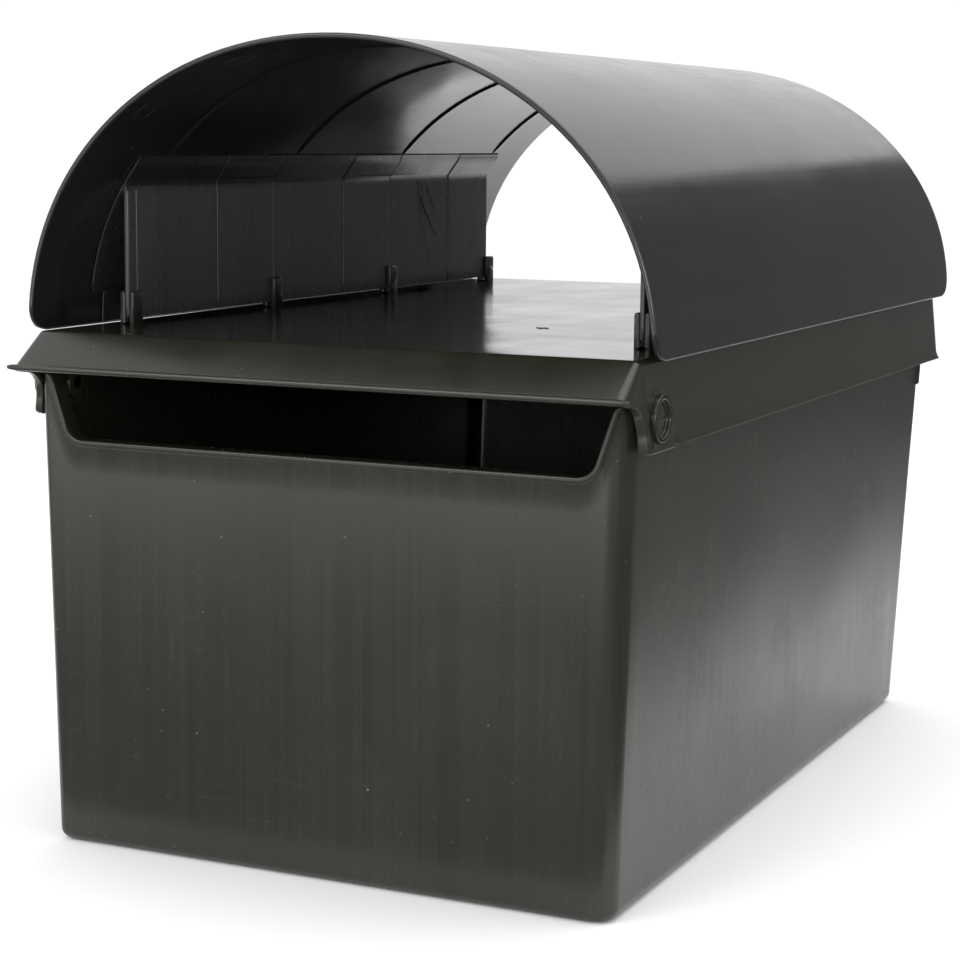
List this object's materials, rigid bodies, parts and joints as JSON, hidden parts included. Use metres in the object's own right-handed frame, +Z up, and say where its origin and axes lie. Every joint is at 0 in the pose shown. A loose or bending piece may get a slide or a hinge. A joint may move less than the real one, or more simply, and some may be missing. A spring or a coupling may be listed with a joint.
{
  "type": "letter box with newspaper canopy",
  "caption": "Deep lidded letter box with a wide front slot under a rain visor, a lid that turns on side pins, and an arched newspaper canopy open at both ends.",
  "frame": {"origin": "centre of the bin's foot, on the surface that it stands on", "axes": "+Z up, -Y towards the letter slot, +X to the right seen from the slot"},
  "size_m": [0.298, 0.4932, 0.3587],
  "materials": {
    "bin_plastic": "satin moulded polyethylene, dark olive black, fine vertical drag lines",
    "lid_plastic": "glossy moulded top, satin skirts",
    "canopy_plastic": "semi-gloss bent sheet with fine lengthwise marks",
    "leg_plastic": "satin sheet with upright streaks and stress marks",
    "pin_plastic": "semi-gloss moulded rivet",
    "post_plastic": "semi-gloss moulded clip"
  },
  "bodies": {
    "box": {"bin": "bin_plastic", "hinge_sleeve_left": "pin_plastic", "hinge_sleeve_right": "pin_plastic", "hinge_plug_left": "pin_plastic", "hinge_plug_right": "pin_plastic"},
    "lid": {"lid": "lid_plastic", "canopy": "canopy_plastic", "canopy_leg_left": "leg_plastic", "canopy_leg_right": "leg_plastic", "post_left_1": "post_plastic", "post_left_2": "post_plastic", "post_left_3": "post_plastic", "post_left_4": "post_plastic", "post_right_1": "post_plastic", "post_right_2": "post_plastic", "post_right_3": "post_plastic", "post_right_4": "post_plastic"}
  },
  "joints": [
    {"name": "lid_hinge", "type": "hinge", "parent": "box", "child": "lid", "pos_m": [0, -0.202, 0.207], "axis": [1, 0, 0], "range_deg": [0, 65]}
  ]
}
